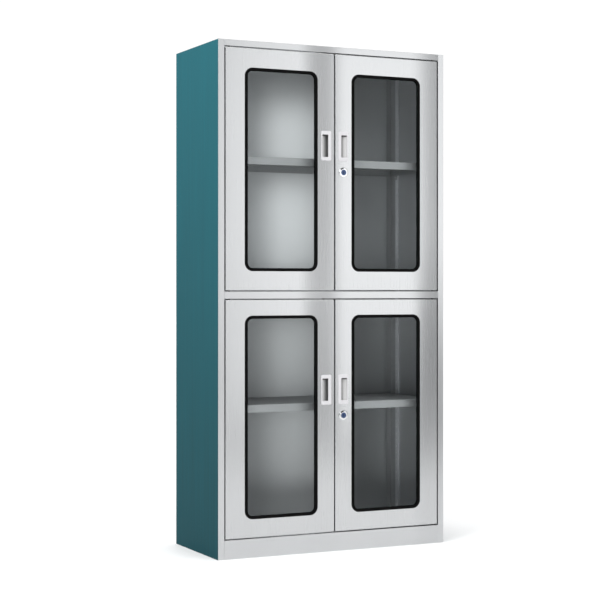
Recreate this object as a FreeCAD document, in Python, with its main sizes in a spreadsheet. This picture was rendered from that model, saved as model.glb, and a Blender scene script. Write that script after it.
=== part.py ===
"""Medicine cabinet of folded sheet steel, with four glazed swing doors in two tiers.

Millimetres, +Z up, the doors face -Y, and the origin is on the floor under the middle of the cabinet.
Distances called "out" are measured from the middle line, where the doors of a tier meet, to either side.
"""

import FreeCAD
import Part
import Sketcher

import math
import os
from types import SimpleNamespace

SIZES = {
    # whole cabinet
    "cabinet_width": 900,
    "cabinet_depth": 400,
    "cabinet_height": 1800,
    "sheet_gauge": 1,
    "edge_round": 0.8,
    "panel_flange": 20,
    # front frame
    "stile_width": 23,
    "stile_depth": 42,
    "stile_wing": 25,
    "top_rail_height": 22,
    "mid_rail_height": 25,
    "kick_height": 66,
    "kick_foot": 28,
    "rail_depth": 45,
    "lower_opening_height": 836,
    # shelves and what carries them
    "upper_shelf_height": 475,
    "lower_shelf_height": 462,
    "shelf_lip": 27,
    "shelf_hem": 12,
    "shelf_setback": 50,
    "shelf_back_gap": 8,
    "shelf_side_play": 2,
    "shelf_bend": 1.6,
    "standard_width": 20,
    "standard_depth": 5,
    "front_standard_setback": 75,
    "rear_standard_setback": 55,
    "slot_pitch": 25,
    "slot_width": 10,
    "slot_height": 4,
    "slot_depth": 3,
    "slot_end_margin": 33,
    "clip_width": 9,
    "clip_reach": 12,
    "clip_thickness": 3,
    "clip_leg": 16,
    "clip_tongue": 2.5,
    # doors
    "door_gap": 4,
    "door_thickness": 20,
    "door_corner": 4,
    "door_bend": 1.6,
    # windows, measured over the seal
    "window_corner": 30,
    "window_meeting_margin": 66,
    "window_hinge_margin": 73,
    "upper_window_rise": 67,
    "upper_window_drop": 67,
    "lower_window_rise": 64,
    "lower_window_drop": 55,
    "seal_grip": 4,
    "seal_web": 3,
    "seal_cover": 4,
    "seal_front": 2.5,
    "seal_back": 2.5,
    "seal_round": 1.8,
    "glass_thickness": 5,
    "rebate_play": 0.5,
    "rebate_step": 2.5,
    # pivots
    "pivot_inset": 12,
    "pivot_setback": 8,
    "pin_diameter": 8,
    "pin_reach": 14,
    "pin_head_diameter": 14,
    "pin_head_thickness": 2.5,
    "running_play": 0.05,
    "bush_diameter": 13,
    "bush_depth": 16,
    "collar_diameter": 15,
    "collar_play": 0.15,
    # flush pulls
    "pull_width": 40,
    "pull_height": 106,
    "pull_corner": 5,
    "pull_bezel": 2.2,
    "pull_round": 1.2,
    "pull_inset": 32,
    "pull_rise": 93,
    "recess_rim": 12,
    "recess_width": 23.5,
    "recess_height": 80,
    "recess_depth": 13,
    "recess_shallow": 1.5,
    "recess_floor": 10,
    "recess_undercut": 5,
    "recess_lip": 1,
    "cup_wall": 1.5,
    "cup_play": 0.3,
    # cam locks
    "lock_ring_diameter": 36,
    "lock_ring_height": 4.5,
    "lock_ring_chamfer": 1.6,
    "lock_face_diameter": 20,
    "lock_face_depth": 3,
    "lock_face_sink": 0.6,
    "lock_barrel_diameter": 22,
    "lock_barrel_end": 1,
    "lock_hole_play": 0.3,
    "plug_diameter": 14,
    "key_slot_width": 2.4,
    "key_slot_length": 9,
    "key_slot_depth": 2,
    "nut_across_flats": 28,
    "nut_thickness": 5,
    "tail_square": 7,
    "tail_head_diameter": 11,
    "tail_head_thickness": 2,
    "cam_width": 15,
    "cam_length": 58,
    "cam_heel": 9,
    "cam_thickness": 2.5,
    "cam_crank": 4,
    "crank_start": 17,
    "crank_run": 5,
    "cam_play": 0.2,
    # slide bolts of the left doors
    "bolt_diameter": 8,
    "bolt_length": 56,
    "bolt_chamfer": 1,
    "bolt_travel": 14,
    "bolt_inset": 60,
    "bolt_setback": 4,
    "bolt_play": 0.1,
    "keeper_play": 2,
    "guide_width": 24,
    "guide_height": 36,
    "guide_depth": 13,
    "guide_setback": 8,
    "guide_round": 2.5,
    "knob_diameter": 6,
    "knob_reach": 8,
    # magnetic catches
    "catch_width": 64,
    "catch_height": 15,
    "catch_depth": 22,
    "catch_round": 2,
    "catch_play": 0.2,
    "magnet_width": 22,
    "magnet_height": 8,
    "magnet_sink": 1,
}
SIDES = {"left": -1, "right": 1}

doc = FreeCAD.newDocument("MedicineCabinet")
sheet = doc.addObject("Spreadsheet::Sheet", "Sizes")
for row, (alias, number) in enumerate(SIZES.items(), start=1):
    sheet.set(f"A{row}", alias)
    sheet.set(f"B{row}", str(number))
    sheet.setAlias(f"B{row}", alias)
doc.recompute()


class Size:
    """A length that holds both its number and the sheet formula that gives it."""

    def __init__(self, number, formula):
        self.number = float(number)
        self.formula = formula

    def __add__(self, other):
        other = as_size(other)
        return Size(self.number + other.number, f"({self.formula} + {other.formula})")

    def __sub__(self, other):
        other = as_size(other)
        return Size(self.number - other.number, f"({self.formula} - {other.formula})")

    def __mul__(self, other):
        other = as_size(other)
        return Size(self.number * other.number, f"({self.formula} * {other.formula})")

    def __truediv__(self, other):
        other = as_size(other)
        return Size(self.number / other.number, f"({self.formula} / {other.formula})")

    def __neg__(self):
        return self * -1

    def __rsub__(self, other):
        return as_size(other) - self

    __radd__ = __add__
    __rmul__ = __mul__


def as_size(value):
    return value if isinstance(value, Size) else Size(value, f"({value})")


size = SimpleNamespace(**{alias: Size(sheet.get(alias), f"Sizes.{alias}") for alias in SIZES})
gauge = size.sheet_gauge

# Planes and lines of the carcass
half_width = size.cabinet_width / 2
wall_face = half_width - gauge
front = -size.cabinet_depth / 2
back = size.cabinet_depth / 2
back_sheet = back - gauge
rear_flange = back_sheet - gauge
roof_sheet = size.cabinet_height - gauge
opening_edge = half_width - size.stile_width
rail_back = front + size.rail_depth

# Lines of the doors
meeting_edge = size.door_gap / 2
hinge_edge = opening_edge - size.door_gap
pivot_out = hinge_edge - size.pivot_inset
pivot_y = front + size.pivot_setback
skin_back = front + size.door_thickness - gauge
door_back = front + size.door_thickness
lock_out = meeting_edge + size.pull_inset
bolt_out = meeting_edge + size.bolt_inset
bolt_y = door_back + size.guide_depth / 2
lock_face = front - size.lock_ring_height
barrel_back = door_back + size.nut_thickness + size.lock_barrel_end
window_near = meeting_edge + size.window_meeting_margin
window_far = hinge_edge - size.window_hinge_margin
seal_width = size.seal_grip + size.seal_web + size.seal_cover

# Shelf ends and the strips that hold them
standard_face = wall_face - size.standard_depth
shelf_end = standard_face - size.shelf_side_play


def tier(name, floor, ceiling, window_rise, window_drop, shelf_height):
    """The heights that one tier's doors, windows, shelf and locks share."""
    door_low = floor + size.door_gap
    door_high = ceiling - size.door_gap
    middle = (door_low + door_high) / 2
    shelf_top = floor + shelf_height
    return SimpleNamespace(
        name=name,
        floor=floor,
        ceiling=ceiling,
        door_low=door_low,
        door_high=door_high,
        middle=middle,
        pull_middle=middle + size.pull_rise,
        window_low=door_low + window_rise,
        window_high=door_high - window_drop,
        shelf_top=shelf_top,
        shelf_bottom=shelf_top - size.shelf_lip,
    )


lower_ceiling = size.kick_height + size.lower_opening_height
upper_floor = lower_ceiling + size.mid_rail_height
upper_ceiling = size.cabinet_height - size.top_rail_height
LOWER = tier(
    "lower",
    size.kick_height,
    lower_ceiling,
    size.lower_window_rise,
    size.lower_window_drop,
    size.lower_shelf_height,
)
UPPER = tier(
    "upper",
    upper_floor,
    upper_ceiling,
    size.upper_window_rise,
    size.upper_window_drop,
    size.upper_shelf_height,
)

nodes = []


# Sketches and features

def new_body(label):
    body = doc.addObject("PartDesign::Body", label)
    body.Label = label
    return body


def sketch_on(body, role, **offset):
    """A sketch on one of the body's own planes, moved by the named offsets along the sketch's axes."""
    plane = next(item for item in body.Origin.OriginFeatures if item.Role == role)
    sketch = body.newObject("Sketcher::SketchObject", f"{body.Name}_sketch")
    sketch.AttachmentSupport = [(plane, "")]
    sketch.MapMode = "FlatFace"
    for axis, distance in offset.items():
        sketch.setExpression(f"AttachmentOffset.Base.{axis}", as_size(distance).formula)
    return sketch


def plan_sketch(body, height):
    """A sketch of X and Y at a height."""
    return sketch_on(body, "XY_Plane", z=height)


def front_sketch(body, depth):
    """A sketch of X and Z at a depth Y."""
    return sketch_on(body, "XZ_Plane", z=-depth)


def side_sketch(body, place):
    """A sketch of Y and Z at a place X."""
    return sketch_on(body, "YZ_Plane", z=place)


def hold(sketch, kind, *place, value):
    """One driving dimension of a sketch, bound to the sheet."""
    value = as_size(value)
    index = sketch.addConstraint(Sketcher.Constraint(kind, *place, value.number))
    sketch.setExpression(f"Constraints[{index}]", value.formula)


def polygon(sketch, points):
    """A closed outline with every corner held at its distances from the sketch's origin."""
    corners = [(as_size(across), as_size(along)) for across, along in points]
    spots = [FreeCAD.Vector(across.number, along.number, 0) for across, along in corners]
    lines = [
        sketch.addGeometry(Part.LineSegment(start, end), False)
        for start, end in zip(spots, spots[1:] + spots[:1])
    ]
    for line, following in zip(lines, lines[1:] + lines[:1]):
        sketch.addConstraint(Sketcher.Constraint("Coincident", line, 2, following, 1))
    for line, (across, along) in zip(lines, corners):
        hold(sketch, "DistanceX", -1, 1, line, 1, value=across)
        hold(sketch, "DistanceY", -1, 1, line, 1, value=along)
    return sketch


def rectangle(sketch, left, right, low, high):
    return polygon(sketch, [(left, low), (right, low), (right, high), (left, high)])


def rounded_rectangle(sketch, left, right, low, high, radius):
    """Four straight sides joined by four equal tangent arcs."""
    sides = [as_size(value) for value in (left, right, low, high, radius)]
    x0, x1, y0, y1, r = (value.number for value in sides)
    ends = [
        ((x0 + r, y0), (x1 - r, y0)),
        ((x1, y0 + r), (x1, y1 - r)),
        ((x1 - r, y1), (x0 + r, y1)),
        ((x0, y1 - r), (x0, y0 + r)),
    ]
    centres = [(x1 - r, y0 + r), (x1 - r, y1 - r), (x0 + r, y1 - r), (x0 + r, y0 + r)]
    up = FreeCAD.Vector(0, 0, 1)
    lines = []
    arcs = []
    for turn, ((start, end), centre) in enumerate(zip(ends, centres)):
        line = Part.LineSegment(FreeCAD.Vector(*start, 0), FreeCAD.Vector(*end, 0))
        circle = Part.Circle(FreeCAD.Vector(*centre, 0), up, r)
        first = (turn - 1) * math.pi / 2
        lines.append(sketch.addGeometry(line, False))
        arcs.append(sketch.addGeometry(Part.ArcOfCircle(circle, first, first + math.pi / 2), False))
    for line, arc, following in zip(lines, arcs, lines[1:] + lines[:1]):
        sketch.addConstraint(Sketcher.Constraint("Tangent", line, 2, arc, 1))
        sketch.addConstraint(Sketcher.Constraint("Tangent", arc, 2, following, 1))
    for line, kind in zip(lines, ("Horizontal", "Vertical", "Horizontal", "Vertical")):
        sketch.addConstraint(Sketcher.Constraint(kind, line))
    for arc in arcs[1:]:
        sketch.addConstraint(Sketcher.Constraint("Equal", arcs[0], arc))
    hold(sketch, "Radius", arcs[0], value=radius)
    hold(sketch, "DistanceX", -1, 1, lines[3], 1, value=left)
    hold(sketch, "DistanceX", -1, 1, lines[1], 1, value=right)
    hold(sketch, "DistanceY", -1, 1, lines[0], 1, value=low)
    hold(sketch, "DistanceY", -1, 1, lines[2], 1, value=high)
    return sketch


def circle(sketch, across, along, radius):
    across, along, radius = as_size(across), as_size(along), as_size(radius)
    centre = FreeCAD.Vector(across.number, along.number, 0)
    ring = sketch.addGeometry(Part.Circle(centre, FreeCAD.Vector(0, 0, 1), radius.number), False)
    hold(sketch, "Radius", ring, value=radius)
    hold(sketch, "DistanceX", -1, 1, ring, 3, value=across)
    hold(sketch, "DistanceY", -1, 1, ring, 3, value=along)
    return sketch


def extrude(kind, body, profile, length):
    """A Pad or a Pocket that runs from its sketch towards +X, +Y or +Z."""
    feature = body.newObject(f"PartDesign::{kind}", f"{body.Name}_{kind}")
    feature.Profile = profile
    feature.setExpression("Length", as_size(length).formula)
    faces_front = profile.AttachmentSupport[0][0].Role == "XZ_Plane"
    feature.Reversed = (kind == "Pad") == faces_front
    return feature


def pad(body, profile, length):
    return extrude("Pad", body, profile, length)


def pocket(body, profile, length):
    return extrude("Pocket", body, profile, length)


def revolve(body, profile, axis):
    feature = body.newObject("PartDesign::Revolution", f"{body.Name}_turned")
    feature.Profile = profile
    feature.ReferenceAxis = (profile, [axis])
    feature.Angle = 360
    return feature


def turned_upright(body, across, depth, points):
    """A turned piece on a vertical axis, from radius and height points."""
    profile = sketch_on(body, "XZ_Plane", x=across, z=-depth)
    return revolve(body, polygon(profile, points), "V_Axis")


def turned_through(body, across, height, points):
    """A turned piece on an axis from front to back, from depth and radius points."""
    profile = sketch_on(body, "YZ_Plane", y=height, z=across)
    return revolve(body, polygon(profile, points), "H_Axis")


def round_edges(body, radius, wanted):
    """Rounds the edges of the body so far that the test picks."""
    doc.recompute()
    base = body.Tip
    names = [f"Edge{n}" for n, edge in enumerate(base.Shape.Edges, start=1) if wanted(edge)]
    feature = body.newObject("PartDesign::Fillet", f"{body.Name}_round")
    feature.Base = (base, names)
    feature.setExpression("Radius", as_size(radius).formula)
    return feature


def lies_at(edge, **planes):
    """True where every point of the edge lies on the given planes, such as y=front."""
    box = edge.BoundBox
    spans = {"x": (box.XMin, box.XMax), "y": (box.YMin, box.YMax), "z": (box.ZMin, box.ZMax)}
    tolerance = 1e-4
    return all(
        abs(end - as_size(place).number) < tolerance
        for axis, place in planes.items()
        for end in spans[axis]
    )


def front_outline(body, depth):
    """A test for the outer edges of the body's largest face at a depth."""
    doc.recompute()
    faces = [face for face in body.Tip.Shape.Faces if lies_at(face, y=depth)]
    outline = max(faces, key=lambda face: face.Area).OuterWire.Edges
    return lambda edge: any(edge.isSame(part) for part in outline)


def across(side, near, far):
    """Left and right ends of a span that runs from near to far out, on the left or right side."""
    ends = (near, far) if side > 0 else (-far, -near)
    return ends


def keep(piece):
    nodes.append(piece)
    return piece


def group(label, members):
    """Separate solids that share a node."""
    compound = doc.addObject("Part::Compound", label)
    compound.Label = label
    compound.Links = members
    return keep(compound)


# Carcass panels

def side_panel(name, side):
    """Outer skin with a rear flange under the back sheet and a foot flange on the floor."""
    body = new_body(f"{name}_side_panel")
    skin_front = front + gauge
    flange_end = half_width - size.panel_flange
    outline = [
        (side * half_width, skin_front),
        (side * half_width, back_sheet),
        (side * flange_end, back_sheet),
        (side * flange_end, rear_flange),
        (side * wall_face, rear_flange),
        (side * wall_face, skin_front),
    ]
    pad(body, polygon(plan_sketch(body, 0), outline), roof_sheet)
    left, right = across(side, flange_end, wall_face)
    pad(body, rectangle(plan_sketch(body, 0), left, right, rail_back, rear_flange), gauge)
    return keep(body)


def back_panel():
    body = new_body("back_panel")
    outline = rectangle(front_sketch(body, back_sheet), -half_width, half_width, 0, roof_sheet)
    pad(body, outline, gauge)
    return keep(body)


def top_panel():
    """Flat lid over the whole cabinet, with a rim inside the walls."""
    body = new_body("top_panel")
    lid = rectangle(plan_sketch(body, roof_sheet), -half_width, half_width, front, back)
    pad(body, lid, gauge)
    rim = plan_sketch(body, roof_sheet - size.panel_flange)
    rectangle(rim, -wall_face, wall_face, rail_back, rear_flange)
    rectangle(rim, gauge - wall_face, wall_face - gauge, rail_back + gauge, rear_flange - gauge)
    pad(body, rim, size.panel_flange)
    round_edges(body, size.edge_round, lambda edge: lies_at(edge, z=size.cabinet_height))
    return keep(body)


def pan(body, half, near, far, top, depth):
    """A sheet with its four edges turned down."""
    low = top - depth
    pad(body, rectangle(plan_sketch(body, low), -half, half, near, far), depth)
    hollow = rectangle(plan_sketch(body, low), gauge - half, half - gauge, near + gauge, far - gauge)
    pocket(body, hollow, depth - gauge)


def floor_panel(label, floor):
    body = new_body(label)
    pan(body, wall_face, rail_back, rear_flange, floor, size.panel_flange)
    return keep(body)


# Front frame

def stile(name, side):
    """Folded post: front face, inner return, a rear lip to the wall and a wing inside the side skin."""
    body = new_body(f"{name}_stile")
    inner = opening_edge + gauge
    lip_back = front + size.stile_depth
    wing = wall_face - gauge
    outline = [
        (half_width, front),
        (opening_edge, front),
        (opening_edge, lip_back),
        (wall_face, lip_back),
        (wall_face, lip_back - gauge),
        (inner, lip_back - gauge),
        (inner, front + gauge),
        (wing, front + gauge),
        (wing, front + size.stile_wing),
        (wall_face, front + size.stile_wing),
        (wall_face, front + gauge),
        (half_width, front + gauge),
    ]
    section = polygon(plan_sketch(body, 0), [(side * out, depth) for out, depth in outline])
    pad(body, section, roof_sheet)
    for out in (half_width, opening_edge):
        place = side * out
        round_edges(body, size.edge_round, lambda edge: lies_at(edge, x=place, y=front))
    return keep(body)


def rail(label, outlines, flanges, rounded_heights):
    """A folded rail between the stiles, with pin holes and a slide bolt's slot in its flanges."""
    body = new_body(label)
    section = side_sketch(body, -opening_edge)
    for outline in outlines:
        polygon(section, outline)
    pad(body, section, opening_edge * 2)
    for flange_low in flanges:
        holes = plan_sketch(body, flange_low)
        for side in SIDES.values():
            circle(holes, side * pivot_out, pivot_y, size.pin_diameter / 2 + size.running_play)
        keeper = size.bolt_diameter / 2 + size.keeper_play
        rectangle(holes, -bolt_out - keeper, -bolt_out + keeper, bolt_y - keeper, bolt_y + keeper)
        pocket(body, holes, gauge)
    for height in rounded_heights:
        round_edges(body, size.edge_round, lambda edge: lies_at(edge, y=front, z=height))
    return keep(body)


def top_rail():
    inner = front + gauge
    lip = rail_back - gauge
    shelf = upper_ceiling + gauge
    channel = [
        (front, upper_ceiling),
        (rail_back, upper_ceiling),
        (rail_back, roof_sheet),
        (lip, roof_sheet),
        (lip, shelf),
        (inner, shelf),
        (inner, roof_sheet),
        (front, roof_sheet),
    ]
    return rail("top_rail", [channel], [upper_ceiling], [upper_ceiling])


def mid_rail():
    def loop(inset):
        near, far = front + inset, rail_back - inset
        low, high = lower_ceiling + inset, upper_floor - inset
        return [(near, low), (far, low), (far, high), (near, high)]

    flanges = [lower_ceiling, upper_floor - gauge]
    return rail("mid_rail", [loop(0), loop(gauge)], flanges, [lower_ceiling, upper_floor])


def kick_plate():
    inner = front + gauge
    foot = front + size.kick_foot
    under = size.kick_height - gauge
    channel = [
        (front, 0),
        (foot, 0),
        (foot, gauge),
        (inner, gauge),
        (inner, under),
        (rail_back, under),
        (rail_back, size.kick_height),
        (front, size.kick_height),
    ]
    return rail("kick_plate", [channel], [under], [size.kick_height])


# Shelves

def shelf(level):
    body = new_body(f"{level.name}_shelf")
    near = front + size.shelf_setback
    far = rear_flange - size.shelf_back_gap
    pan(body, shelf_end, near, far, level.shelf_top, size.shelf_lip)
    hem = plan_sketch(body, level.shelf_bottom)
    rectangle(hem, -shelf_end, shelf_end, near, near + size.shelf_hem)
    pad(body, hem, gauge)
    round_edges(body, size.shelf_bend, lambda edge: lies_at(edge, y=near, z=level.shelf_top))
    return keep(body)


STANDARD_MIDDLES = {
    "front": front + size.front_standard_setback,
    "rear": rear_flange - size.rear_standard_setback,
}


def whole_pitches(length):
    """How many slot pitches fit in a length."""
    return math.floor(length.number / size.slot_pitch.number)


def standard(level, name, side, place, low, high):
    """A slotted strip on the side wall."""
    body = new_body(f"{level.name}_{name}_standard")
    middle = STANDARD_MIDDLES[place]
    left, right = across(side, standard_face, wall_face)
    near = middle - size.standard_width / 2
    far = middle + size.standard_width / 2
    pad(body, rectangle(plan_sketch(body, low), left, right, near, far), high - low)
    slot_start = across(side, standard_face, standard_face + size.slot_depth)[0]
    slot = side_sketch(body, slot_start)
    clip_middle = level.shelf_bottom - size.clip_thickness / 2
    slots_below = whole_pitches(clip_middle - low - size.slot_end_margin)
    slots_above = whole_pitches(high - clip_middle - size.slot_end_margin)
    slot_middle = clip_middle - size.slot_pitch * slots_below
    rectangle(
        slot,
        middle - size.slot_width / 2,
        middle + size.slot_width / 2,
        slot_middle - size.slot_height / 2,
        slot_middle + size.slot_height / 2,
    )
    first = pocket(body, slot, size.slot_depth)
    row_of_slots = body.newObject("PartDesign::LinearPattern", f"{body.Name}_slots")
    row_of_slots.Originals = [first]
    row_of_slots.Direction = (slot, ["V_Axis"])
    row_of_slots.setExpression("Length", (size.slot_pitch * (slots_below + slots_above)).formula)
    row_of_slots.Occurrences = slots_below + slots_above + 1
    body.Tip = row_of_slots
    return body


def clip(level, name, side, place):
    """A bent clip: a ledge under the shelf, a tongue in the strip's slot and a leg against the strip."""
    body = new_body(f"{level.name}_{name}_clip")
    top = level.shelf_bottom
    under = top - size.clip_thickness
    foot = top - size.clip_leg
    leg = standard_face - size.clip_thickness
    tongue = standard_face + size.clip_tongue
    reach = standard_face - size.clip_reach
    outline = [
        (reach, top),
        (tongue, top),
        (tongue, under),
        (standard_face, under),
        (standard_face, foot),
        (leg, foot),
        (leg, under),
        (reach, under),
    ]
    profile = front_sketch(body, STANDARD_MIDDLES[place] - size.clip_width / 2)
    pad(body, polygon(profile, [(side * out, height) for out, height in outline]), size.clip_width)
    return body


def shelf_supports(level, low, high):
    corners = [
        (f"{name}_{place}", side, place)
        for name, side in SIDES.items()
        for place in STANDARD_MIDDLES
    ]
    strips = [standard(level, name, side, place, low, high) for name, side, place in corners]
    group(f"{level.name}_shelf_standards", strips)
    clips = [clip(level, name, side, place) for name, side, place in corners]
    group(f"{level.name}_shelf_clips", clips)


# Pivots and catches

def hinge_pins(level):
    """Headed pins through the flanges above and below the doors, one pair for each door."""
    radius = size.pin_diameter / 2
    head = size.pin_head_diameter / 2
    pins = []
    for name, side in SIDES.items():
        for end, flange, inward in (("top", level.ceiling, -1), ("bottom", level.floor, 1)):
            tip = flange + inward * (size.door_gap + size.pin_reach)
            seat = flange - inward * gauge
            head_end = seat - inward * size.pin_head_thickness
            outline = [(0, tip), (radius, tip), (radius, seat), (head, seat), (head, head_end)]
            body = new_body(f"{level.name}_{name}_{end}_pin")
            turned_upright(body, side * pivot_out, pivot_y, outline + [(0, head_end)])
            pins.append(body)
    return group(f"{level.name}_hinge_pins", pins)


def hinge_bushes(level, name, side):
    """Flanged bushes let into the top and bottom folds of a door, with collars that fill the door gap."""
    bore = size.pin_diameter / 2 + size.running_play
    sleeve = size.bush_diameter / 2
    collar = size.collar_diameter / 2
    thickness = size.door_gap - size.collar_play
    bushes = []
    for end, edge, inward in (("top", level.door_high, -1), ("bottom", level.door_low, 1)):
        inner_end = edge + inward * size.bush_depth
        outer_end = edge - inward * thickness
        outline = [
            (bore, inner_end),
            (sleeve, inner_end),
            (sleeve, edge),
            (collar, edge),
            (collar, outer_end),
            (bore, outer_end),
        ]
        body = new_body(f"{level.name}_{name}_{end}_bush")
        turned_upright(body, side * pivot_out, pivot_y, outline)
        bushes.append(body)
    return group(f"{level.name}_{name}_hinge_bushes", bushes)


def magnetic_catch(level):
    """Block under the rail that the meeting edges of both doors close against."""
    body = new_body(f"{level.name}_magnetic_catch")
    face = door_back + size.catch_play
    half = size.catch_width / 2
    low = level.ceiling - size.catch_height
    pad(body, rectangle(front_sketch(body, face), -half, half, low, level.ceiling), size.catch_depth)
    round_edges(
        body,
        size.catch_round,
        lambda edge: lies_at(edge, x=half, z=low) or lies_at(edge, x=-half, z=low),
    )
    magnets = front_sketch(body, face)
    middle = (low + level.ceiling) / 2
    for side in SIDES.values():
        centre = side * half / 2
        rectangle(
            magnets,
            centre - size.magnet_width / 2,
            centre + size.magnet_width / 2,
            middle - size.magnet_height / 2,
            middle + size.magnet_height / 2,
        )
    pocket(body, magnets, size.magnet_sink)
    return keep(body)


# Doors

def door_outline(sketch, level, side, inset):
    left, right = across(side, meeting_edge + inset, hinge_edge - inset)
    corner = size.door_corner - inset
    return rounded_rectangle(
        sketch, left, right, level.door_low + inset, level.door_high - inset, corner
    )


def window_outline(sketch, level, side, inset):
    """The window's outline over the seal, brought in by an inset."""
    left, right = across(side, window_near + inset, window_far - inset)
    corner = size.window_corner - inset
    return rounded_rectangle(
        sketch, left, right, level.window_low + inset, level.window_high - inset, corner
    )


def window_ring(body, level, side, depth, length, outer, inner):
    ring = front_sketch(body, depth)
    window_outline(ring, level, side, outer)
    window_outline(ring, level, side, inner)
    return pad(body, ring, length)


def pull_span(near, far):
    """Ends of a span across a pull, from distances counted from the pull's edge by the meeting line."""
    edge = lock_out - size.pull_width / 2
    return edge + near, edge + far


def lock_hole(body, level, depth):
    hole = front_sketch(body, depth)
    radius = size.lock_barrel_diameter / 2 + size.lock_hole_play
    circle(hole, lock_out, level.middle, radius)
    pocket(body, hole, gauge)


def door_front(level, name, side):
    """Folded outer skin, with cut-outs for the window, the pull, the bushes and the lock."""
    body = new_body(f"{level.name}_{name}_door_front")
    pad(body, door_outline(front_sketch(body, front), level, side, 0), size.door_thickness - gauge)
    hollow = door_outline(front_sketch(body, front + gauge), level, side, gauge)
    pocket(body, hollow, size.door_thickness - gauge * 2)
    round_edges(body, size.door_bend, front_outline(body, front))
    pocket(body, window_outline(front_sketch(body, front), level, side, size.seal_grip), gauge)
    cup_near, cup_far = cup_span()
    left, right = across(side, cup_near - size.cup_play, cup_far + size.cup_play)
    half = cup_half_height() + size.cup_play
    low, high = level.pull_middle - half, level.pull_middle + half
    pocket(body, rectangle(front_sketch(body, front), left, right, low, high), gauge)
    for flange_low in (level.door_low, level.door_high - gauge):
        seat = plan_sketch(body, flange_low)
        circle(seat, side * pivot_out, pivot_y, size.bush_diameter / 2 + size.running_play)
        pocket(body, seat, gauge)
    if name == "right":
        lock_hole(body, level, front)
    return keep(body)


def door_back_skin(level, name, side):
    """Flat inner skin with a turned rebate wall that closes the door round the window."""
    body = new_body(f"{level.name}_{name}_door_back")
    skin = front_sketch(body, skin_back)
    door_outline(skin, level, side, 0)
    window_outline(skin, level, side, size.rebate_step)
    pad(body, skin, gauge)
    wall_front = front + gauge + size.seal_back + size.rebate_play
    wall_outer = size.rebate_step - gauge
    window_ring(
        body, level, side, wall_front, skin_back - wall_front, wall_outer, size.rebate_step
    )
    if name == "right":
        lock_hole(body, level, skin_back)
    return keep(body)


def window_glass(level, name, side):
    body = new_body(f"{level.name}_{name}_window_glass")
    inset = size.seal_grip + size.seal_web
    outline = window_outline(front_sketch(body, front), level, side, inset)
    pad(body, outline, size.glass_thickness)
    return keep(body)


def window_seal(level, name, side):
    """H-section rubber: a face over both edges, a web, a lip behind the sheet and one behind the glass."""
    body = new_body(f"{level.name}_{name}_window_seal")
    web_end = size.seal_grip + size.seal_web
    glass_back = front + size.glass_thickness
    web_length = size.glass_thickness + size.seal_back
    face = front - size.seal_front
    window_ring(body, level, side, face, size.seal_front, 0, seal_width)
    round_edges(body, size.seal_round, lambda edge: lies_at(edge, y=face))
    window_ring(body, level, side, front, web_length, size.seal_grip, web_end)
    window_ring(body, level, side, front + gauge, size.seal_back, 0, size.seal_grip)
    window_ring(body, level, side, glass_back, size.seal_back, web_end, seal_width)
    return keep(body)


def cup_span():
    undercut = size.recess_rim - size.recess_undercut
    return pull_span(
        undercut - size.cup_wall, size.recess_rim + size.recess_width + size.cup_wall
    )


def cup_half_height():
    return size.recess_height / 2 + size.cup_wall


def door_pull(level, name, side):
    """Flush pull: a plate on the skin, and a cup whose floor ramps down to an undercut grip."""
    body = new_body(f"{level.name}_{name}_door_pull")
    plate_front = front - size.pull_bezel
    left, right = across(side, *pull_span(0, size.pull_width))
    low = level.pull_middle - size.pull_height / 2
    high = level.pull_middle + size.pull_height / 2
    plate = front_sketch(body, plate_front)
    rounded_rectangle(plate, left, right, low, high, size.pull_corner)
    pad(body, plate, size.pull_bezel)
    round_edges(body, size.pull_round, lambda edge: lies_at(edge, y=plate_front))
    left, right = across(side, *cup_span())
    half = cup_half_height()
    cup = front_sketch(body, front)
    rectangle(cup, left, right, level.pull_middle - half, level.pull_middle + half)
    pad(body, cup, size.recess_depth + size.cup_wall)
    mouth_near, mouth_far = pull_span(size.recess_rim, size.recess_rim + size.recess_width)
    grip_end = mouth_near - size.recess_undercut
    floor_end = grip_end + size.recess_floor
    deep = front + size.recess_depth
    outline = [
        (mouth_near, plate_front),
        (mouth_far, plate_front),
        (mouth_far, front + size.recess_shallow),
        (floor_end, deep),
        (grip_end, deep),
        (grip_end, front + size.recess_lip),
        (mouth_near, front + size.recess_lip),
    ]
    section = plan_sketch(body, level.pull_middle - size.recess_height / 2)
    polygon(section, [(side * out, depth) for out, depth in outline])
    pocket(body, section, size.recess_height)
    return keep(body)


# Locks of the right doors

def lock_body(level):
    """Ring and barrel, bored for the plug."""
    body = new_body(f"{level.name}_lock_body")
    ring = size.lock_ring_diameter / 2
    barrel = size.lock_barrel_diameter / 2
    face = size.lock_face_diameter / 2 + size.running_play
    bore = size.plug_diameter / 2 + size.running_play
    seat = lock_face + size.lock_face_depth
    outline = [
        (lock_face, face),
        (lock_face, ring - size.lock_ring_chamfer),
        (lock_face + size.lock_ring_chamfer, ring),
        (front, ring),
        (front, barrel),
        (barrel_back, barrel),
        (barrel_back, bore),
        (seat, bore),
        (seat, face),
    ]
    turned_through(body, lock_out, level.middle, outline)
    return keep(body)


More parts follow.
